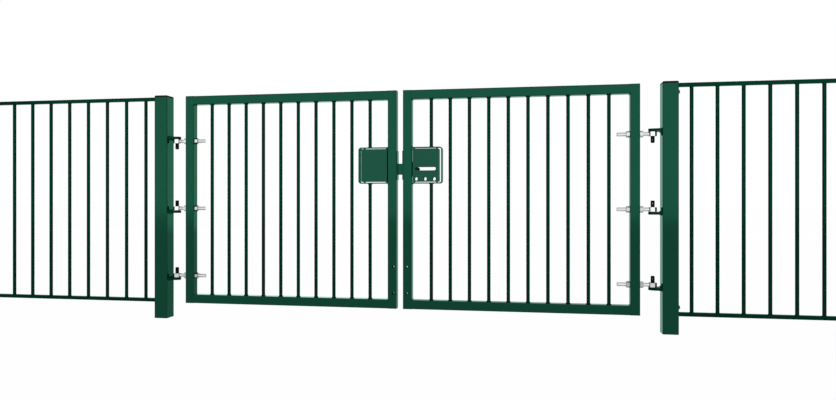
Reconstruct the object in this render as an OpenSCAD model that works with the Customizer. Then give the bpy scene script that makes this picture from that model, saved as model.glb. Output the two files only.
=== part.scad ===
// Double swing gate with round-bar leaves, square posts and one bay of matching railing on each side.
// Millimetres. +X runs along the gate, +Z is up, and the front of the gate faces -Y.
// The origin is the middle of the left gate post's foot; the leaves' middle plane is Y = 0.

/* [Gate] */
// Width of one leaf, over its stiles
leaf_width = 1250; // [1000:10:1600]
// Height of one leaf, over its rails
leaf_height = 1200; // [1120:10:1600]
// Gap between the closed leaves
centre_gap = 35; // [28:1:60]
// Gap between a leaf and its post
hinge_gap = 107.5; // [102:0.5:130]
// Height of leaves and railings above the foot of the posts
ground_gap = 90; // [40:5:250]

/* [Leaf frame] */
// Outside size of the square tube
frame_size = 50; // [46:1:60]
// Wall of the square tube
frame_wall = 2.5; // [2:0.5:4]
// Outside corner radius of the square tube
frame_corner = 5; // [4.5:0.5:8]
// Bars in one leaf
leaf_bars = 10; // [6:1:12]
// Outside diameter of a bar
bar_diameter = 19; // [14:1:19]
// Wall of a bar
bar_wall = 1.5; // [1.5:0.5:3]
// Diameter of the drop bolt holes in the meeting stiles
drop_hole_diameter = 14; // [10:1:18]
// Height of the lower drop bolt hole above the leaf's bottom edge
drop_hole_height = 85; // [65:1:120]
// Distance between the two drop bolt holes of a stile
drop_hole_spacing = 145; // [100:5:200]
// Distance of the drop bolt holes from the stile's gap side
drop_hole_inset = 20; // [16:1:26]

/* [Posts] */
// Outside size of a post
post_size = 80; // [74:1:120]
// Wall of a post
post_wall = 3; // [2:0.5:5]
// Outside corner radius of a post
post_corner = 6; // [5.5:0.5:10]
// Top of the post's tube below the top of the leaves
post_drop = 4; // [0:1:20]
// Height of a post cap above the tube
cap_height = 11; // [8:1:20]
// Chamfer around a post cap
cap_chamfer = 5; // [2:0.5:6]
// Depth of a cap's plug inside the tube
plug_depth = 22; // [10:1:40]
// Wall of a cap's plug
plug_wall = 3; // [2:0.5:5]
// Gap between a cap's plug and the tube
plug_clearance = 0.3; // [0.2:0.1:1]

/* [Railings] */
// Bars in one bay
railing_bars = 20; // [8:1:24]
// Spacing of the bars
railing_pitch = 125.4; // [90:0.2:140]
// Distance from a bay's first post to the middle of its first bar, along +X
railing_start = 69; // [45:1:90]
// Distance from the middle of a bay's last bar to its last post, along +X
railing_finish = 77; // [45:1:90]
// Outside size of a railing's square rail
rail_size = 20; // [20:1:30]
// Wall of a railing's rail
rail_wall = 1.5; // [1:0.5:1.5]
// Diameter of a fixing's dome
fixing_diameter = 30; // [26:1:34]
// Height of a fixing's dome over the post
fixing_length = 13; // [8:1:13]
// Distance from the rail's outer edge to the middle of a fixing
fixing_inset = 45; // [40:1:80]

/* [Hinges] */
// Height of the lowest hinge above the leaf's bottom edge
hinge_low = 158; // [110:1:300]
// Height of the highest hinge above the leaf's bottom edge
hinge_high = 940; // [800:1:1050]
// Distance from the post to the axis of the hinge pins
pin_offset = 42.5; // [40:0.5:50]
// Diameter of a hinge pin
pin_diameter = 20; // [14:1:22]
// Running clearance around a hinge pin, on the radius
pin_clearance = 0.05; // [0.02:0.01:0.09]
// Length of a hinge pin past the eye
pin_reach = 35; // [28:1:45]
// Diameter of the split pin hole across a hinge pin
split_hole_diameter = 5; // [3:0.5:6]
// Distance from the hinge pin's end to its split pin hole
split_hole_inset = 16; // [8:1:18]
// Outside diameter of an eye
eye_diameter = 42; // [34:1:44]
// Height of an eye
eye_height = 22; // [21:1:30]
// Gap between an eye and the arm of its bracket
eye_gap = 1; // [0.5:0.5:3]
// Diameter of an eye bolt's rod
rod_diameter = 20; // [14:1:20]
// Length of the rod past the hinge stile
rod_reach = 65; // [40:1:80]
// Clearance of the rod in the stile, on the radius
rod_clearance = 0.5; // [0.2:0.1:1]
// Width across flats of a hinge nut
nut_width = 30; // [26:1:34]
// Height of a hinge nut
nut_height = 18; // [12:1:20]
// Thickness of a bracket's arm
arm_thickness = 15; // [8:1:16]
// Radius of the arm's round end
arm_radius = 22; // [18:1:24]
// Width of the arm where it meets the post
root_width = 72; // [60:1:74]
// Thickness of the upright rib at the front of a bracket
rib_thickness = 6; // [4:1:10]
// Width of the rib, from front to back
rib_width = 12; // [10:1:20]
// Height of the rib
rib_height = 38; // [30:1:44]

/* [Latch] */
// Height of the lock case's middle above the leaf's bottom edge
lock_height = 788; // [500:1:850]
// Width of the guard around a lock case
guard_width = 167; // [160:1:190]
// Height of the guard
guard_height = 201; // [196:1:240]
// Thickness of the guard's strip
guard_thickness = 6; // [4:1:8]
// Distance from a stile's front and back faces to the guard's and the lock case's
guard_inset = 5; // [3:0.5:8]
// Outside corner radius of the guard
guard_corner = 15; // [10:1:20]
// Gap between guard and case at the end away from the stile
side_gap = 11; // [6:1:12]
// Gap between guard and case above and below
edge_gap = 4; // [3:0.5:5]
// Gap between the stile and the case's front and back plates
stile_gap = 5; // [2:1:8]
// Sheet thickness of the lock case
case_sheet = 3; // [2:0.5:4]
// Corner radius of the lock case
case_corner = 6; // [4:1:10]
// Width of the lugs that carry the guard
lug_width = 8; // [5:1:12]
// Distance from the stile to the middle of the first lug
lug_near = 10; // [8:1:20]
// Distance from the stile to the middle of the second lug
lug_far = 136; // [100:1:138]
// Distance from the case's middle down to the slot's middle
slot_drop = 19; // [14:1:22]
// Distance from the stile to the near end of the slot
slot_near = 18; // [14:1:24]
// Length of the slot
slot_length = 114; // [112:1:117]
// Height of the slot
slot_height = 19; // [19:1:26]
// Diameter of the padlock holes
lock_hole_diameter = 20; // [10:1:20]
// Spacing of the padlock holes
lock_hole_spacing = 50; // [30:1:52]
// Distance from the stile to the middle padlock hole
lock_hole_middle = 72; // [68:1:76]
// Distance from the case's middle down to the padlock holes
lock_hole_drop = 75; // [74:1:75]
// Height of the slide bolt
bolt_height = 62; // [40:1:64]
// Thickness of the slide bolt
bolt_thickness = 12; // [8:1:20]
// Depth of the thrown slide bolt in the other leaf's stile
bolt_depth = 30; // [15:1:34]
// Chamfer on the tip of the slide bolt
bolt_chamfer = 5; // [2:1:10]
// End of the full-height part of the slide bolt, from the stile
bolt_tail = 12; // [6:1:14]
// Radius of the slide bolt's ear around its knob
ear_radius = 10; // [9:0.5:12]
// Clearance around the slide bolt
bolt_clearance = 0.5; // [0.3:0.1:1]
// Diameter of the knob
knob_diameter = 12; // [10:1:13]
// Length of the knob outside the lock case
knob_reach = 10; // [6:1:25]
// Distance from the slot's middle down to the middle of the bolt and its knob
knob_drop = 2; // [0:0.5:2.5]
// Free space between the knob of the thrown bolt and the slot's near end
knob_rest = 7.5; // [6:0.5:9]
// Thickness of the strips that guide the slide bolt
guide_thickness = 8; // [4:1:10]
// Height of a strike plate
strike_height = 160; // [130:1:180]
// Width of a strike plate
strike_width = 40; // [30:1:44]
// Thickness of a strike plate
strike_thickness = 4; // [2:0.5:5]

/* [Hidden] */
$fn = 48;
eps = 1; // overrun of a cut past the face it opens
gate_width = 2 * leaf_width + centre_gap + 2 * hinge_gap;
gate_centre = post_size / 2 + gate_width / 2;
leaf_edge = post_size / 2 + hinge_gap;
post_height = ground_gap + leaf_height - post_drop;
bar_pitch = (leaf_width - 2 * frame_size) / (leaf_bars + 1);
bar_length = leaf_height - 2 * frame_size;
bay_width = railing_start + (railing_bars - 1) * railing_pitch + railing_finish;
bay_centre = post_size / 2 + bay_width / 2;
end_post = bay_width + post_size;
hinge_middle = (hinge_low + hinge_high) / 2;
// Height of each hinge, and the side of the eye that its arm is on.
hinges = [[hinge_low, -1], [hinge_middle, -1], [hinge_high, 1]];
pin_to_leaf = hinge_gap - pin_offset;
rod_length = pin_to_leaf + frame_size + rod_reach;
arm_start = eye_height / 2 + eye_gap;
arm_end = arm_start + arm_thickness;
pin_tip = eye_height / 2 + pin_reach;
guard_depth = frame_size - 2 * guard_inset;
case_end = guard_width - guard_thickness - side_gap;
case_height = guard_height - 2 * guard_thickness - 2 * edge_gap;
band_depth = guard_depth - 2 * case_sheet;
bolt_drop = slot_drop + knob_drop;
bolt_level = lock_height - bolt_drop;
knob_seat = slot_near + knob_rest + knob_diameter / 2;
bolt_tip = frame_size + centre_gap + bolt_depth;
window_height = bolt_height + 2 * bolt_clearance;
window_depth = bolt_thickness + 2 * bolt_clearance;

green = [0.08, 0.32, 0.25];
dark = [0.10, 0.14, 0.13];
zinc = [0.80, 0.81, 0.82];
black = [0.17, 0.17, 0.17];

// ---- Places -------------------------------------------------------------------------------

// The right side is the left side mirrored about the middle of the gate.
module right_side() {
    translate([2 * gate_centre, 0, 0]) mirror([1, 0, 0]) children();
}

// Leaf coordinates: x from the hinge edge to the meeting edge, z from the leaf's bottom edge.
module on_leaf() {
    translate([leaf_edge, 0, ground_gap]) children();
}

// Lock coordinates: x from the meeting stile's inner face into the leaf, z from the case's middle.
module on_lock() {
    on_leaf()
        translate([leaf_width - frame_size, 0, lock_height])
            mirror([1, 0, 0])
                children();
}

// Each hinge, at the point where its pin's axis meets the rod's; the arm's side is always +Z.
module at_hinges() {
    for (hinge = hinges)
        translate([post_size / 2 + pin_offset, 0, ground_gap + hinge[0]])
            if (hinge[1] > 0) children();
            else mirror([0, 0, 1]) children();
}

// ---- Shared shapes ------------------------------------------------------------------------

module rounded_square(size, radius) {
    square([size, size - 2 * radius], center = true);
    square([size - 2 * radius, size], center = true);
    for (x = [-1, 1], y = [-1, 1])
        translate([x, y] * (size / 2 - radius)) circle(radius);
}

// A square tube along +Z, open at both ends.
module square_tube(length, size, wall, corner) {
    linear_extrude(length)
        difference() {
            rounded_square(size, corner);
            rounded_square(size - 2 * wall, corner - wall);
        }
}

// A square tube along +Z with a closing plate of its own thickness at both ends.
module closed_tube(length, size, wall, corner) {
    difference() {
        linear_extrude(length) rounded_square(size, corner);
        translate([0, 0, wall])
            linear_extrude(length - 2 * wall) rounded_square(size - 2 * wall, corner - wall);
    }
}

// A round tube along +Z.
module bar(length) {
    difference() {
        cylinder(d = bar_diameter, h = length);
        translate([0, 0, -eps]) cylinder(d = bar_diameter - 2 * bar_wall, h = length + 2 * eps);
    }
}

// A plate drawn in X and Z, standing on the plane Y = 0 and as thick as depth.
module upright(depth) {
    rotate([90, 0, 0]) linear_extrude(depth, center = true) children();
}

// A rectangle from x = 0, centred on y = 0, with round corners at its far end only.
module far_rounded(start, width, height, radius) {
    translate([start, -height / 2]) square([width - start - radius, height]);
    translate([start, -height / 2 + radius]) square([width - start, height - 2 * radius]);
    for (side = [-1, 1])
        translate([width - radius, side * (height / 2 - radius)]) circle(radius);
}

// ---- Posts --------------------------------------------------------------------------------

module post(x) {
    color(green)
        translate([x, 0, 0]) square_tube(post_height, post_size, post_wall, post_corner);
}

module left_gate_post() post(0);
module right_gate_post() post(2 * gate_centre);
module left_end_post() post(-end_post);
module right_end_post() post(2 * gate_centre + end_post);

module cap_profile() {
    half = post_size / 2;
    polygon([
        [-half, 0], [half, 0], [half, cap_height - cap_chamfer],
        [half - cap_chamfer, cap_height], [cap_chamfer - half, cap_height],
        [-half, cap_height - cap_chamfer],
    ]);
}

// A chamfered cap on top of the tube, with a square plug that holds it inside the tube.
module post_cap() {
    plug = post_size - 2 * post_wall - 2 * plug_clearance;
    corner = post_corner - post_wall;
    intersection() {
        upright(post_size) cap_profile();
        rotate([0, 0, 90]) upright(post_size) cap_profile();
        linear_extrude(cap_height) rounded_square(post_size, post_corner);
    }
    translate([0, 0, -plug_depth]) square_tube(plug_depth, plug, plug_wall, corner + 1);
}

module post_caps() {
    color(black)
        for (x = [-end_post, 0, 2 * gate_centre, 2 * gate_centre + end_post])
            translate([x, 0, post_height]) post_cap();
}

// ---- Railings -----------------------------------------------------------------------------

// One bay: two hollow rails with the bars let into them, so every bar opens into its rails.
module railing(start) {
    bottom = ground_gap;
    top = ground_gap + leaf_height - rail_size;
    inner = rail_size - 2 * rail_wall;
    first = start + railing_start;
    color(green)
        difference() {
            union() {
                for (z = [bottom, top])
                    translate([start, -rail_size / 2, z])
                        cube([bay_width, rail_size, rail_size]);
                for (i = [0 : railing_bars - 1])
                    translate([first + i * railing_pitch, 0, bottom + rail_size / 2])
                        cylinder(d = bar_diameter, h = leaf_height - rail_size);
            }
            for (z = [bottom, top])
                translate([start - eps, -inner / 2, z + rail_wall])
                    cube([bay_width + 2 * eps, inner, inner]);
            for (i = [0 : railing_bars - 1])
                translate([first + i * railing_pitch, 0, bottom + rail_size / 2])
                    cylinder(d = bar_diameter - 2 * bar_wall, h = leaf_height - rail_size);
        }
}

module left_railing() railing(-post_size / 2 - bay_width);
module right_railing() railing(2 * gate_centre + post_size / 2);

// A dome along +Z, which covers the nut of a bolt through the post.
module fixing() {
    radius = (fixing_diameter ^ 2 / 4 + fixing_length ^ 2) / (2 * fixing_length);
    intersection() {
        cylinder(d = fixing_diameter + 2 * eps, h = fixing_length + eps);
        translate([0, 0, fixing_length - radius]) sphere(radius);
    }
}

module railing_fixings() {
    color(green)
        for (centre = [-bay_centre, 2 * gate_centre + bay_centre])
            for (z = [fixing_inset, leaf_height - fixing_inset])
                for (side = [-1, 1])
                    translate([centre + side * bay_width / 2, 0, ground_gap + z])
                        rotate([0, -90 * side, 0]) fixing();
}

// ---- Hinges -------------------------------------------------------------------------------

// The arm's outline: it narrows from the post along two tangents to its round end.
module arm_profile() {
    root = root_width / 2;
    turn = atan2(root, -pin_offset) - acos(arm_radius / norm([pin_offset, root]));
    tangent = arm_radius * [cos(turn), sin(turn)];
    polygon([[-pin_offset, -root], [tangent.x, -tangent.y], tangent, [-pin_offset, root]]);
    circle(arm_radius);
}

// The arm that carries the pin, and a round-nosed rib that stiffens its front corner.
module hinge_bracket() {
    nose = rib_thickness / 2;
    difference() {
        union() {
            translate([-pin_offset, nose - root_width / 2, arm_end - rib_height])
                cube([rib_thickness, rib_width - nose, rib_height]);
            translate([nose - pin_offset, nose - root_width / 2, arm_end - rib_height])
                cylinder(r = nose, h = rib_height);
            translate([0, 0, arm_start]) linear_extrude(arm_thickness) arm_profile();
        }
        translate([0, 0, arm_start - eps])
            cylinder(d = pin_diameter, h = arm_thickness + 2 * eps);
    }
}

// The pin: flush with the arm, through the eye, and drilled for a split pin past it.
module hinge_pin() {
    bevel = pin_diameter / 9;
    difference() {
        union() {
            translate([0, 0, bevel - pin_tip]) cylinder(d = pin_diameter, h = pin_tip - bevel + arm_end);
            translate([0, 0, -pin_tip])
                cylinder(d1 = pin_diameter - 2 * bevel, d2 = pin_diameter, h = bevel);
        }
        translate([0, 0, split_hole_inset - pin_tip])
            rotate([90, 0, 0])
                cylinder(d = split_hole_diameter, h = pin_diameter + 2 * eps, center = true, $fn = 24);
    }
}

// The eye on the pin and its rod, which runs through the hinge stile.
module eye_bolt() {
    bevel = rod_diameter / 10;
    difference() {
        union() {
            cylinder(d = eye_diameter, h = eye_height, center = true);
            rotate([0, 90, 0]) cylinder(d = rod_diameter, h = rod_length - bevel);
            translate([rod_length - bevel, 0, 0])
                rotate([0, 90, 0])
                    cylinder(d1 = rod_diameter, d2 = rod_diameter - 2 * bevel, h = bevel);
        }
        cylinder(r = pin_diameter / 2 + pin_clearance, h = eye_height + 2 * eps, center = true);
    }
}

// A nut's round blank in half section: a cylinder over its corners with 30 degree cones.
module nut_blank() {
    corner = nut_width / sqrt(3) + eps;
    flat = nut_width / 2 * 0.95;
    cone = (corner - flat) / sqrt(3);
    polygon([[0, 0], [flat, 0], [corner, cone], [corner, nut_height - cone], [flat, nut_height], [0, nut_height]]);
}

// Two nuts clamp the rod to the stile, one from each side.
module hinge_nuts() {
    for (x = [pin_to_leaf - nut_height, pin_to_leaf + frame_size])
        translate([x, 0, 0])
            rotate([0, 90, 0])
                difference() {
                    intersection() {
                        cylinder(r = nut_width / sqrt(3), h = nut_height, $fn = 6);
                        rotate_extrude() nut_blank();
                    }
                    translate([0, 0, -eps]) cylinder(d = rod_diameter, h = nut_height + 2 * eps);
                }
}

module left_hinge_brackets() color(green) at_hinges() hinge_bracket();
module left_hinge_pins() color(dark) at_hinges() hinge_pin();
module left_eye_bolts() color(zinc) at_hinges() eye_bolt();
module left_hinge_nuts() color(zinc) at_hinges() hinge_nuts();
module right_hinge_brackets() right_side() left_hinge_brackets();
module right_hinge_pins() right_side() left_hinge_pins();
module right_eye_bolts() right_side() left_eye_bolts();
module right_hinge_nuts() right_side() left_hinge_nuts();

// ---- Leaves -------------------------------------------------------------------------------

// A hinge stile, drilled through for the three rods.
module left_hinge_stile() {
    color(green)
        on_leaf()
            difference() {
                translate([frame_size / 2, 0, 0])
                    closed_tube(leaf_height, frame_size, frame_wall, frame_corner);
                for (hinge = hinges)
                    translate([-eps, 0, hinge[0]])
                        rotate([0, 90, 0])
                            cylinder(r = rod_diameter / 2 + rod_clearance, h = frame_size + 2 * eps);
            }
}

// A meeting stile with the drop bolt holes, and a window for the slide bolt from its gap side
// to window_end: into its hollow on one leaf, and right through on the other.
module meeting_stile(window_end) {
    color(green)
        on_leaf()
            difference() {
                translate([leaf_width - frame_size / 2, 0, 0])
                    closed_tube(leaf_height, frame_size, frame_wall, frame_corner);
                for (z = [drop_hole_height, drop_hole_height + drop_hole_spacing])
                    translate([leaf_width - drop_hole_inset, 0, z])
                        rotate([90, 0, 0])
                            cylinder(d = drop_hole_diameter, h = frame_size + 2 * eps, center = true);
                translate([leaf_width - window_end, -window_depth / 2, bolt_level - window_height / 2])
                    cube([window_end + eps, window_depth, window_height]);
            }
}

module left_meeting_stile() meeting_stile(frame_size / 2);
module right_meeting_stile() right_side() meeting_stile(frame_size + eps);

// The top and bottom rails, between the stiles.
module left_leaf_rails() {
    color(green)
        on_leaf()
            for (z = [frame_size / 2, leaf_height - frame_size / 2])
                translate([frame_size, 0, z])
                    rotate([0, 90, 0])
                        square_tube(leaf_width - 2 * frame_size, frame_size, frame_wall, frame_corner);
}

// The bars, evenly spaced; one that meets the lock's guard stops above and below it.
module left_leaf_bars() {
    guard_bottom = lock_height - guard_height / 2;
    guard_top = lock_height + guard_height / 2;
    color(green)
        on_leaf()
            for (i = [1 : leaf_bars])
                translate([leaf_width - frame_size - i * bar_pitch, 0, 0])
                    if (i * bar_pitch - bar_diameter / 2 < guard_width) {
                        translate([0, 0, frame_size]) bar(guard_bottom - frame_size);
                        translate([0, 0, guard_top]) bar(leaf_height - frame_size - guard_top);
                    } else {
                        translate([0, 0, frame_size]) bar(bar_length);
                    }
}

module right_hinge_stile() right_side() left_hinge_stile();
module right_leaf_rails() right_side() left_leaf_rails();
module right_leaf_bars() right_side() left_leaf_bars();

// ---- Lock cases ---------------------------------------------------------------------------

// The strip that runs around a case at a distance, with the lugs that tie it to the case.
module left_lock_guard() {
    color(green)
        on_lock() {
            upright(guard_depth)
                difference() {
                    far_rounded(0, guard_width, guard_height, guard_corner);
                    translate([-eps, 0])
                        far_rounded(0, guard_width - guard_thickness + eps,
                                    guard_height - 2 * guard_thickness, guard_corner - guard_thickness);
                }
            for (x = [lug_near, lug_far], side = [-1, 1])
                translate([x, 0, side * (case_height + edge_gap) / 2])
                    cube([lug_width, guard_depth / 2, edge_gap], center = true);
        }
}

// The case's edge: top, bottom and far end in one bent strip, open towards the stile.
module left_case_band() {
    color(green)
        on_lock()
            upright(band_depth)
                difference() {
                    far_rounded(0, case_end, case_height, case_corner);
                    translate([-eps, 0])
                        far_rounded(0, case_end - case_sheet + eps,
                                    case_height - 2 * case_sheet, case_corner - case_sheet);
                }
}

// A closing plate of the case, on the front (-1) or the back (1).
module case_plate(side) {
    color(green)
        on_lock()
            translate([0, side * (guard_depth - case_sheet) / 2, 0])
                upright(case_sheet) far_rounded(stile_gap, case_end, case_height, case_corner);
}

// The long slot for the knob and the row of padlock holes, cut through both plates.
module case_cuts() {
    on_lock()
        upright(guard_depth + 2 * eps) {
            translate([slot_near + slot_height / 2, -slot_drop - slot_height / 2])
                square([slot_length - slot_height, slot_height]);
            for (x = [slot_near + slot_height / 2, slot_near + slot_length - slot_height / 2])
                translate([x, -slot_drop]) circle(d = slot_height);
            for (i = [-1, 0, 1])
                translate([lock_hole_middle + i * lock_hole_spacing, -lock_hole_drop])
                    circle(d = lock_hole_diameter);
        }
}

module left_case_front() case_plate(-1);
module left_case_back() case_plate(1);
module right_lock_guard() right_side() left_lock_guard();
module right_case_band() right_side() left_case_band();
module right_case_front() right_side() difference() { case_plate(-1); case_cuts(); }
module right_case_back() right_side() difference() { case_plate(1); case_cuts(); }

// The plate on a meeting stile's gap side, with a window for the slide bolt.
module left_strike_plate() {
    color(green)
        on_leaf()
            difference() {
                translate([leaf_width, -strike_width / 2, lock_height - strike_height / 2])
                    cube([strike_thickness, strike_width, strike_height]);
                translate([leaf_width - eps, -window_depth / 2, bolt_level - window_height / 2])
                    cube([strike_thickness + 2 * eps, window_depth, window_height]);
            }
}

module right_strike_plate() right_side() left_strike_plate();

// ---- Slide bolt ---------------------------------------------------------------------------

// Two strips inside the right case, above and below the slide bolt.
module right_bolt_guides() {
    color(dark)
        right_side()
            on_lock()
                for (side = [-1, 1])
                    translate([0, -band_depth / 2, side * (window_height + guide_thickness) / 2
                               - guide_thickness / 2 - bolt_drop])
                        cube([case_end - case_sheet, band_depth, guide_thickness]);
}

// The flat bolt through the right meeting stile and the gap, with an ear for its knob.
module slide_bolt() {
    half = bolt_height / 2;
    color(green)
        right_side()
            on_lock()
                translate([0, 0, -bolt_drop])
                    upright(bolt_thickness)
                        difference() {
                            union() {
                                polygon([
                                    [bolt_tail, half], [bolt_chamfer - bolt_tip, half],
                                    [-bolt_tip, half - bolt_chamfer], [-bolt_tip, bolt_chamfer - half],
                                    [bolt_chamfer - bolt_tip, -half], [bolt_tail, -half],
                                ]);
                                translate([0, -ear_radius]) square([knob_seat, 2 * ear_radius]);
                                translate([knob_seat, 0]) circle(ear_radius);
                            }
                            translate([knob_seat, 0]) circle(d = knob_diameter);
                        }
}

// The knob, through the bolt's ear and out of the slot on both sides of the leaf.
module bolt_knob() {
    bevel = knob_diameter / 9;
    half = guard_depth / 2 + knob_reach;
    color(dark)
        right_side()
            on_lock()
                translate([knob_seat, 0, -bolt_drop])
                    rotate([90, 0, 0])
                        rotate_extrude()
                            polygon([
                                [0, -half], [knob_diameter / 2 - bevel, -half],
                                [knob_diameter / 2, bevel - half], [knob_diameter / 2, half - bevel],
                                [knob_diameter / 2 - bevel, half], [0, half],
                            ]);
}

// ---- Nodes --------------------------------------------------------------------------------

left_gate_post();
right_gate_post();
left_end_post();
right_end_post();
post_caps();
left_railing();
right_railing();
railing_fixings();
left_hinge_brackets();
right_hinge_brackets();
left_hinge_pins();
right_hinge_pins();
left_hinge_stile();
left_meeting_stile();
left_leaf_rails();
left_leaf_bars();
left_eye_bolts();
left_hinge_nuts();
left_strike_plate();
left_case_band();
left_case_front();
left_case_back();
left_lock_guard();
right_hinge_stile();
right_meeting_stile();
right_leaf_rails();
right_leaf_bars();
right_eye_bolts();
right_hinge_nuts();
right_strike_plate();
right_case_band();
right_case_front();
right_case_back();
right_lock_guard();
right_bolt_guides();
slide_bolt();
bolt_knob();
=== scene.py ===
# Double swing gate with a bay of railing on each side, dressed for rendering.
import math

import bmesh
import bpy
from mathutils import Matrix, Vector


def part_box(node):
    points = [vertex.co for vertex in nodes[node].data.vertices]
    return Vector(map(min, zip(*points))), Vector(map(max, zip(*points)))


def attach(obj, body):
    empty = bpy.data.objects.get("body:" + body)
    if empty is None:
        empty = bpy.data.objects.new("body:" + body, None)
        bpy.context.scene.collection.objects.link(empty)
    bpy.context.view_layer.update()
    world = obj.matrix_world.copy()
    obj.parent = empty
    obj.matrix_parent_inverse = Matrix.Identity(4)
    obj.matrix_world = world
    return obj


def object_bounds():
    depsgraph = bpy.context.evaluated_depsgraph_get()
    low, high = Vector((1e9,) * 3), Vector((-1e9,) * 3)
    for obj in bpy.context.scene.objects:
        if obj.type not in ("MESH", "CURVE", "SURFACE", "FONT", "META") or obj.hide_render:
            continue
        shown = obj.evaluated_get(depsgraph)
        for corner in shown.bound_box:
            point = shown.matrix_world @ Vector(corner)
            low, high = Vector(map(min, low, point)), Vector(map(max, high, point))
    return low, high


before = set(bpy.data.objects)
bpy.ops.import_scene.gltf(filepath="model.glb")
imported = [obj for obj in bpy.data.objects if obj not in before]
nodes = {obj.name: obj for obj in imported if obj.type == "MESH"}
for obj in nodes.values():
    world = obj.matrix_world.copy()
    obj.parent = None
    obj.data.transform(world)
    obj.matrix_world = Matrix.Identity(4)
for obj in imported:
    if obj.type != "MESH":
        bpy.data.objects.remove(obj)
cad_box = [list(corner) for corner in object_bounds()]

# ---- Posts --------------------------------------------------------------------------------
# Four square steel tubes that stand in the ground and carry the gate and its railings.
# They are galvanised, then powder coated moss green, which bakes to a gloss with a faint
# orange peel.

PEEL_SCALE = 420.0
PEEL_HEIGHT = 0.00002
THICKNESS_SCALE = 9.0
GLOSS_SCALE = 30.0


class Shade:
    """A socket of a finish. Arithmetic on it adds the Math nodes of the expression."""

    def __init__(self, finish, socket):
        self.finish = finish
        self.socket = socket

    def math(self, operation, *values):
        return self.finish.add("Math", {"operation": operation}, dict(enumerate(values)))

    def __add__(self, other):
        return self.math("ADD", self, other)

    def __radd__(self, other):
        return self.math("ADD", other, self)

    def __sub__(self, other):
        return self.math("SUBTRACT", self, other)

    def __rsub__(self, other):
        return self.math("SUBTRACT", other, self)

    def __mul__(self, other):
        return self.math("MULTIPLY", self, other)

    def __rmul__(self, other):
        return self.math("MULTIPLY", other, self)

    def __gt__(self, other):
        return self.math("GREATER_THAN", self, other)

    def __abs__(self):
        return self.math("ABSOLUTE", self)


class Finish:
    """The node recipe of a material, or of the world around the gate."""

    def __init__(self, owner):
        self.owner = owner
        owner.use_nodes = True
        self.tree = owner.node_tree
        self.tree.nodes.clear()

    def add(self, kind, settings=None, sockets=None, output=0):
        node = self.tree.nodes.new("ShaderNode" + kind)
        for name, value in (settings or {}).items():
            setattr(node, name, value)
        for key, value in (sockets or {}).items():
            if isinstance(value, Shade):
                self.tree.links.new(value.socket, node.inputs[key])
            else:
                node.inputs[key].default_value = value
        return Shade(self, node.outputs[output]) if node.outputs else None

    def place(self):
        return self.add("TexCoord", output=3)

    def noise(self, scale, detail=2.0, roughness=0.5):
        return self.add("TexNoise", None, {
            "Vector": self.place(), "Scale": scale, "Detail": detail, "Roughness": roughness})

    def mix(self, factor, first, second):
        return self.add("Mix", {"data_type": "RGBA"}, {0: factor, 6: first, 7: second}, output=2)

    def bump(self, height, distance):
        return self.add("Bump", None, {"Height": height, "Distance": distance, "Strength": 1.0})

    def surface(self, **sockets):
        shader = self.add("BsdfPrincipled", None, {
            name.replace("_", " "): value for name, value in sockets.items()})
        self.add("OutputMaterial", None, {"Surface": shader})


def coat(name):
    return Finish(bpy.data.materials.new(name))


def dress(finish, *names):
    for name in names:
        for slot in nodes[name].material_slots:
            slot.material = finish.owner


def powder_coat(name, thin, thick, rim, clear=0.0):
    """A batch of moss green coat, between the shades of its thin and its thick places.

    The rim is its tint on faces seen edge on, and clear the strength of its untinted gloss."""
    batch = coat(name)
    batch.surface(
        Base_Color=batch.mix(batch.noise(THICKNESS_SCALE, 3.0), thin, thick),
        Metallic=0.60,
        Roughness=0.07 + 0.04 * batch.noise(GLOSS_SCALE),
        Specular_IOR_Level=clear,
        Specular_Tint=rim,
        Normal=batch.bump(batch.noise(PEEL_SCALE, 1.0), PEEL_HEIGHT))
    return batch


green_coat = powder_coat("green_coat", (0.0052, 0.052, 0.030, 1), (0.0060, 0.059, 0.033, 1),
                         (0.35, 0.80, 0.62, 1), 0.10)

dress(green_coat, "left_gate_post", "right_gate_post", "left_end_post", "right_end_post")

# ---- Post caps ----------------------------------------------------------------------------
# Push-in caps of dark grey polyethylene that keep rain out of the posts. They are injection
# moulded, with a fine spark-eroded grain.

GRAIN_SCALE = 900.0
GRAIN_HEIGHT = 0.00006
WEATHERING_SCALE = 35.0

black_plastic = coat("black_plastic")
grain = black_plastic.noise(GRAIN_SCALE)
weathering = black_plastic.noise(WEATHERING_SCALE, 3.0)
black_plastic.surface(
    Base_Color=black_plastic.mix(weathering, (0.011, 0.011, 0.011, 1), (0.016, 0.015, 0.015, 1)),
    Roughness=0.60 + 0.16 * grain,
    Specular_IOR_Level=0.04,
    Normal=black_plastic.bump(grain, GRAIN_HEIGHT))

dress(black_plastic, "post_caps")

# ---- Railings -----------------------------------------------------------------------------
# Each bay is two small square tubes with round bars let in between them. Every bar is tacked
# to its rails with a short weld on its left and its right. The bay wears a darker copy of the
# posts' green coat, which is painted shade on the thin tubes and bars.

RAIL_HEIGHT = 0.020
BAR_RADIUS = 0.0095
RAILING_BARS = 20
RAILING_START = 0.069
RAILING_PITCH = 0.1254

RAIL_WELD = 0.0022
TACK_HALF_ANGLE = math.radians(48)
TACK_STATIONS = 15
STATION_PITCH = 0.0012
RIPPLE_SIZE = 0.10
RIPPLE_ANGLE = 2.1
BULGE = 0.2
SECTION = (0, 0.3, 0.7, 1)
END_SIZE = 0.5
END_GROWTH = 0.2
SHARP_EDGE = math.radians(50)


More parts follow.
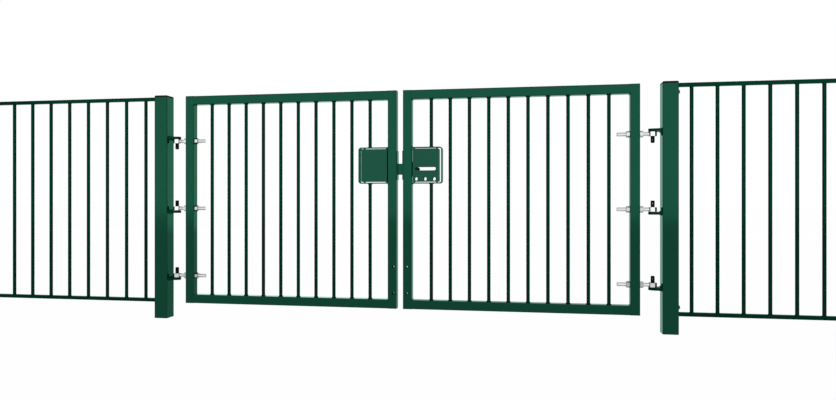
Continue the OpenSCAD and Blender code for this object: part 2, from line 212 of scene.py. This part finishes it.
def lay_bead(mesh, stations, closed=False, crest=None):
    """A rippled weld bead, thinner at its ends unless it is closed. Each station is a corner
    point and the bead's two legs from it; the crest is how far it rises between them."""
    last = len(stations) - 1
    rings = []
    for i, (corner, first, second) in enumerate(stations):
        swell = 1 + RIPPLE_SIZE * math.sin(RIPPLE_ANGLE * i)
        if not closed:
            swell *= min(1, END_SIZE + END_GROWTH * min(i, last - i))
        bulge = crest or BULGE * (first + second)
        section = [first * (1 - t) + second * t + bulge * (4 * t * (1 - t)) for t in SECTION]
        rings.append([mesh.verts.new(corner)] + [mesh.verts.new(corner + swell * p) for p in section])
    joined = list(zip(rings, rings[1:]))
    if closed:
        joined.append((rings[-1], rings[0]))
    else:
        mesh.faces.new(rings[0])
        mesh.faces.new(rings[-1])
    for here, there in joined:
        for j in range(len(here)):
            k = (j + 1) % len(here)
            mesh.faces.new((here[j], here[k], there[k], there[j]))


def around_bar(x, z, up, size, angles):
    """The stations of a bead around an upright bar, where it leaves a face at height z."""
    stations = []
    for angle in angles:
        out = Vector((math.cos(angle), math.sin(angle), 0))
        corner = Vector((x, 0, z)) + BAR_RADIUS * out
        stations.append((corner, size * out, Vector((0, 0, up * size))))
    return stations


def along(start, end, first, second):
    """The stations of a straight bead from start to end."""
    start, end = Vector(start), Vector(end)
    count = round((end - start).length / STATION_PITCH)
    return [(start.lerp(end, i / count), Vector(first), Vector(second)) for i in range(count + 1)]


def finish_welds(name, mesh, body, batch):
    """Turn the gathered beads into a piece that moves with the body and wears the batch's coat."""
    bmesh.ops.recalc_face_normals(mesh, faces=mesh.faces)
    for face in mesh.faces:
        face.smooth = True
    for edge in mesh.edges:
        edge.smooth = edge.calc_face_angle(0) < SHARP_EDGE
    data = bpy.data.meshes.new(name)
    mesh.to_mesh(data)
    mesh.free()
    data.materials.append(batch.owner)
    piece = bpy.data.objects.new(name, data)
    bpy.context.scene.collection.objects.link(piece)
    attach(piece, body)


# A darker copy of the green coat with a duller rim tint. It is painted shade, worn by the railings,
# the leaf bars, the hinge brackets and their welds.
shaded_coat = powder_coat("shaded_coat", (0.0012, 0.024, 0.012, 1), (0.0016, 0.029, 0.015, 1),
                        (0.15, 0.35, 0.27, 1))

for side in ("left", "right"):
    low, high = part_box(side + "_railing")
    tacks = bmesh.new()
    for bar in range(RAILING_BARS):
        x = low.x + RAILING_START + bar * RAILING_PITCH
        for z, up in ((low.z + RAIL_HEIGHT, 1), (high.z - RAIL_HEIGHT, -1)):
            for facing in (0, math.pi):
                angles = [facing + TACK_HALF_ANGLE * (2 * i / (TACK_STATIONS - 1) - 1)
                          for i in range(TACK_STATIONS)]
                lay_bead(tacks, around_bar(x, z, up, RAIL_WELD, angles))
    finish_welds(side + "_railing_welds", tacks, "posts", shaded_coat)

dress(shaded_coat, "left_railing", "right_railing")

# ---- Railing fixings ----------------------------------------------------------------------
# Domed caps over the nuts that hold the rail ends to the posts. They are pressed from steel and
# coated with the posts.

dress(green_coat, "railing_fixings")

# ---- Hinge brackets -------------------------------------------------------------------------
# Flame-cut steel arms with an upright rib at the front corner, welded to the posts along both
# faces of the arm. They wear the darker copy of the green coat, which is painted shade.

ARM_THICKNESS = 0.015
ROOT_HALF_WIDTH = 0.036
RIB_ROOM = 0.008
BRACKET_WELD = 0.004
BRACKET_WELD_INSET = 0.002
# The height of each arm's face at the eye, and whether the arm lies below or above it.
HINGE_ARMS = ((0.236, -1), (0.627, -1), (1.042, 1))

for side, away in (("left", 1), ("right", -1)):
    low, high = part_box(side + "_hinge_brackets")
    face = low.x if side == "left" else high.x
    toes = bmesh.new()
    for near, up in HINGE_ARMS:
        for z, lift in ((near, -up), (near + up * ARM_THICKNESS, up)):
            lay_bead(toes, along((face, -ROOT_HALF_WIDTH + RIB_ROOM, z),
                                 (face, ROOT_HALF_WIDTH - BRACKET_WELD_INSET, z),
                                 (away * BRACKET_WELD, 0, 0), (0, 0, lift * BRACKET_WELD)))
    finish_welds(side + "_bracket_welds", toes, "posts", shaded_coat)

dress(shaded_coat, "left_hinge_brackets", "right_hinge_brackets")

# ---- Hinge pins -----------------------------------------------------------------------------
# Turned pins pressed into the arms. They are brushed with dark paint, which rubs off under the
# eyes.

BRUSH_SCALE = 60.0
BRUSH_HEIGHT = 0.0001

dark_steel = coat("dark_steel")
brushed = dark_steel.noise(BRUSH_SCALE, 4.0, 0.6)
dark_steel.surface(
    Base_Color=dark_steel.mix(brushed, (0.0025, 0.008, 0.006, 1), (0.0045, 0.014, 0.010, 1)),
    Metallic=0.6,
    Roughness=0.30 + 0.2 * brushed,
    Specular_IOR_Level=0.0,
    Specular_Tint=(0.12, 0.20, 0.17, 1),
    Normal=dark_steel.bump(brushed, BRUSH_HEIGHT))

dress(dark_steel, "left_hinge_pins", "right_hinge_pins")

# ---- Leaf frames ----------------------------------------------------------------------------
# Square tubes, welded at the corners with the stiles running through. The seams on the outer
# faces fill the rounded edge of the stile and are ground back to a low ridge; the ones inside
# the corners are left as laid.

FRAME_TUBE = 0.050
TUBE_CORNER = 0.005
SEAM_REACH = 0.0025
SEAM_RIDGE = 0.0002
CORNER_WELD = 0.0035

for side in ("left", "right"):
    leaf_low, leaf_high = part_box(side + "_leaf_rails")
    seams = bmesh.new()
    for x, into in ((leaf_low.x, 1), (leaf_high.x, -1)):
        for bottom in (leaf_low.z, leaf_high.z - FRAME_TUBE):
            for face in (-1, 1):
                y = face * FRAME_TUBE / 2
                lay_bead(seams, along((x, y, bottom + TUBE_CORNER),
                                      (x, y, bottom + FRAME_TUBE - TUBE_CORNER),
                                      (into * SEAM_REACH, 0, 0), (-into * TUBE_CORNER, 0, 0)),
                         crest=Vector((0, face * SEAM_RIDGE, 0)))
        for z, up in ((leaf_low.z + FRAME_TUBE, 1), (leaf_high.z - FRAME_TUBE, -1)):
            half = FRAME_TUBE / 2 - TUBE_CORNER
            lay_bead(seams, along((x, -half, z), (x, half, z),
                                  (into * CORNER_WELD, 0, 0), (0, 0, up * CORNER_WELD)))
    finish_welds(side + "_frame_welds", seams, side + "_leaf", green_coat)
    dress(green_coat, side + "_hinge_stile", side + "_meeting_stile", side + "_leaf_rails")

# ---- Leaf bars ------------------------------------------------------------------------------
# Round tubes between the rails, welded all round at both ends. The bar beside the lock is cut
# and welded to the lock's guard instead. They wear the darker copy of the green coat, which is
# painted shade.

LEAF_BARS = 10
BAR_WELD = 0.0035
RING_STATIONS = 48

all_round = [2 * math.pi * i / RING_STATIONS for i in range(RING_STATIONS)]

for side in ("left", "right"):
    leaf_low, leaf_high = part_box(side + "_leaf_rails")
    guard_low, guard_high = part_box(side + "_lock_guard")
    pitch = (leaf_high.x - leaf_low.x) / (LEAF_BARS + 1)
    floor, ceiling = leaf_low.z + FRAME_TUBE, leaf_high.z - FRAME_TUBE
    rings = bmesh.new()
    for bar in range(1, LEAF_BARS + 1):
        x = leaf_low.x + bar * pitch
        ends = [(floor, 1), (ceiling, -1)]
        if guard_low.x < x < guard_high.x:
            ends += [(guard_low.z, -1), (guard_high.z, 1)]
        for z, up in ends:
            lay_bead(rings, around_bar(x, z, up, BAR_WELD, all_round), closed=True)
    finish_welds(side + "_bar_welds", rings, side + "_leaf", shaded_coat)
    dress(shaded_coat, side + "_leaf_bars")

# ---- Eye bolts and hinge nuts -----------------------------------------------------------------
# Forged eye bolts with a coarse rolled thread, and two nuts each to set the leaf. All are
# bright zinc plated, the nuts a little duller. The thread shows as fine rings beyond the plain
# neck of the eye.

THREAD_PITCH = 0.0025
THREAD_HEIGHT = 0.00012
NECK = 0.023
PLATING_SCALE = 45.0
STAMPING_SCALE = 120.0
STAMPING_HEIGHT = 0.0001

pin_x = (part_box("left_hinge_pins")[0].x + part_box("left_hinge_pins")[1].x) / 2
middle = (cad_box[0][0] + cad_box[1][0]) / 2

zinc = coat("zinc_steel")
plating = zinc.noise(PLATING_SCALE, 3.0)
along_x = zinc.add("SeparateXYZ", None, {0: zinc.place()})
from_pin = (middle - pin_x) - abs(along_x - middle)
turns = along_x * (2 * math.pi / THREAD_PITCH)
ring = turns.math("SINE", turns)
zinc.surface(
    Base_Color=zinc.mix(plating, (0.56, 0.57, 0.58, 1), (0.66, 0.67, 0.68, 1)),
    Metallic=1.0,
    Roughness=0.10 + 0.08 * plating,
    Specular_Tint=(0.30, 0.30, 0.30, 1),
    Normal=zinc.bump(ring * (from_pin > NECK), THREAD_HEIGHT))

dress(zinc, "left_eye_bolts", "right_eye_bolts")

zinc_nut = coat("zinc_nut")
stamped = zinc_nut.noise(STAMPING_SCALE, 3.0)
zinc_nut.surface(
    Base_Color=zinc_nut.mix(stamped, (0.36, 0.37, 0.38, 1), (0.46, 0.47, 0.48, 1)),
    Metallic=1.0,
    Roughness=0.12 + 0.10 * stamped,
    Specular_Tint=(0.30, 0.30, 0.30, 1),
    Normal=zinc_nut.bump(stamped, STAMPING_HEIGHT))

dress(zinc_nut, "left_hinge_nuts", "right_hinge_nuts")

# ---- Lock cases and guards ----------------------------------------------------------------------
# Folded sheet cases beside the meeting stiles, each inside a bent strip, welded to the stile, that
# keeps hands and tools off the lock. Both wear a slightly greyer batch of the green. The strike
# plates are coated with the stiles, and the bolt's guide strips have the pins' dark paint.

GUARD_WELD = 0.004
GUARD_WELD_INSET = 0.002

lock_coat = powder_coat("lock_coat", (0.0102, 0.056, 0.035, 1), (0.0114, 0.062, 0.039, 1),
                        (0.30, 0.66, 0.52, 1))

for side, away in (("left", -1), ("right", 1)):
    guard_low, guard_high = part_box(side + "_lock_guard")
    stile_x = guard_high.x if side == "left" else guard_low.x
    joints = bmesh.new()
    for z, up in ((guard_low.z, -1), (guard_high.z, 1)):
        lay_bead(joints, along((stile_x, guard_low.y + GUARD_WELD_INSET, z),
                               (stile_x, guard_high.y - GUARD_WELD_INSET, z),
                               (away * GUARD_WELD, 0, 0), (0, 0, up * GUARD_WELD)))
    finish_welds(side + "_guard_welds", joints, side + "_leaf", lock_coat)
    dress(lock_coat, side + "_lock_guard", side + "_case_band", side + "_case_front",
          side + "_case_back")
    dress(green_coat, side + "_strike_plate")

dress(dark_steel, "right_bolt_guides")

# ---- Slide bolt and knob -----------------------------------------------------------------------
# A flat bar that runs in the right case and is thrown across the gap into the left stile. It
# is coated with the leaf; the knob is a steel pin through its tail.

dress(green_coat, "slide_bolt")
dress(dark_steel, "bolt_knob")

# ---- Ground, light and camera --------------------------------------------------------------------
# A plain pale floor and a white surround that mirror-like parts see as well. A long soft box in
# front, just above the ground, gives the upper part of the coat its sheen, and two behind light
# the sides and the back.

AMBIENT = 0.60
WHITE = (1, 1, 1, 1)
PALE = (0.86, 0.86, 0.86, 1)
GROUND_REACH = 60
CAMERA_PLACE = (2.1377, -3.639, 0.6908)
CAMERA_TURN = math.radians(9.74)
CAMERA_LENS = 28.93
CAMERA_SENSOR = 36.0
CAMERA_SHIFT = -0.0007
# Each box: its name, its middle, its width and height in metres, and its power in watts.
SOFT_BOXES = (
    ("front_box", (2.3, -10.0, 1.87), (22.0, 3.1), 210.0),
    ("back_left_box", (-5.0, 11.0, 1.0), (9.0, 8.0), 195.0),
    ("back_right_box", (9.5, 11.0, 1.0), (9.0, 8.0), 195.0))
FLOOR_SHOWS_WHITE = 0.98

ground = bpy.data.meshes.new("ground")
ground.from_pydata([(x * GROUND_REACH, y * GROUND_REACH, 0)
                    for x, y in ((-1, -1), (1, -1), (1, 1), (-1, 1))], [], [(0, 1, 2, 3)])
floor = bpy.data.objects.new("ground", ground)
bpy.context.scene.collection.objects.link(floor)


def seen_directly(recipe):
    """1 for what the camera, a mirror or a clear pane looks at, 0 for light on other things."""
    path = [recipe.add("LightPath", output=name)
            for name in ("Is Camera Ray", "Is Glossy Ray", "Is Transmission Ray")]
    return path[0].math("MAXIMUM", path[0].math("MAXIMUM", path[0], path[1]), path[2])


pale = coat("pale_floor")
pale_diffuse = pale.add("BsdfDiffuse", None, {"Color": PALE})
pale_white = pale.add("Emission", None, {"Color": WHITE, "Strength": 1.0})
pale.add("OutputMaterial", None, {"Surface": pale.add("MixShader", None, {
    0: FLOOR_SHOWS_WHITE * seen_directly(pale), 1: pale_diffuse, 2: pale_white})})
ground.materials.append(pale.owner)

surround = Finish(bpy.data.worlds.new("surround"))
bpy.context.scene.world = surround.owner
surround.add("OutputWorld", None, {"Surface": surround.add("Background", None, {
    "Color": WHITE, "Strength": AMBIENT + (1 - AMBIENT) * seen_directly(surround)})})

for name, place, size, watts in SOFT_BOXES:
    lamp = bpy.data.lights.new(name, "AREA")
    lamp.shape = "RECTANGLE"
    lamp.size, lamp.size_y = size
    lamp.energy = watts
    box = bpy.data.objects.new(name, lamp)
    box.location = place
    box.rotation_euler = (math.radians(90), 0, 0 if place[1] < 0 else math.radians(180))
    box.visible_camera = False
    bpy.context.scene.collection.objects.link(box)

view = bpy.data.cameras.new("camera")
view.sensor_width = CAMERA_SENSOR
view.lens = CAMERA_LENS
view.shift_y = CAMERA_SHIFT
camera = bpy.data.objects.new("camera", view)
camera.location = CAMERA_PLACE
camera.rotation_euler = (math.radians(90), 0, CAMERA_TURN)
bpy.context.scene.collection.objects.link(camera)
bpy.context.scene.camera = camera
bpy.context.scene.view_settings.view_transform = "Standard"
